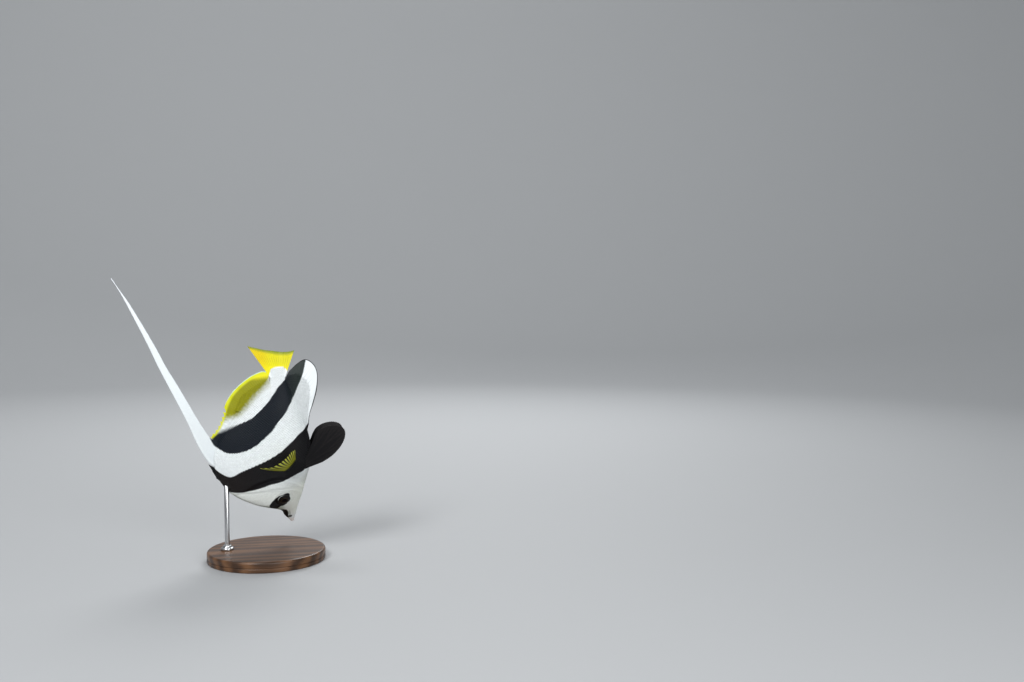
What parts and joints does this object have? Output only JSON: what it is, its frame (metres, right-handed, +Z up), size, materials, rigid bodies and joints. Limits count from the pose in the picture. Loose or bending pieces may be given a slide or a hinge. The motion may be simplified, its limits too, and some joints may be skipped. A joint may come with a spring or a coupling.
{
  "type": "longfin bannerfish model on a stand",
  "caption": "Life-size still model of a longfin bannerfish hovering nose down, with a long trailing dorsal streamer, held over a round base by a rod.",
  "frame": {"origin": "centre of the underside of the round stand base, on the surface it stands on", "axes": "+Z up; the fish's left flank faces -Y; its tail points up and its back points to -X"},
  "size_m": [0.2302, 0.12, 0.2902],
  "materials": {
    "skin": "satin white scaled skin crossed by two blue-black bands",
    "eye": "glossy dark eye",
    "white_fin": "satin white fin membrane",
    "yellow_fin": "satin yellow fin membrane with ribbed rays",
    "black_fin": "satin black fin membrane",
    "pectoral_fin": "olive yellow rays with dark gaps",
    "stand_wood": "dark satin-varnished wood",
    "stand_steel": "brushed"
  },
  "bodies": {
    "root": {"head": "skin", "trunk": "skin", "tail_stalk": "skin", "gill_cover_left": "skin", "gill_cover_right": "skin", "eye_left": "eye", "eye_right": "eye", "banner": "white_fin", "dorsal_fin_nape": "black_fin", "dorsal_fin_spiny": "yellow_fin", "dorsal_fin_soft": "yellow_fin", "tail_fin": "yellow_fin", "anal_fin": "white_fin", "pelvic_fin_left": "black_fin", "pelvic_fin_right": "black_fin", "pectoral_fin_left": "pectoral_fin", "pectoral_fin_right": "pectoral_fin", "stand_base": "stand_wood", "stand_rod": "stand_steel", "stand_collar": "stand_steel"}
  },
  "joints": []
}
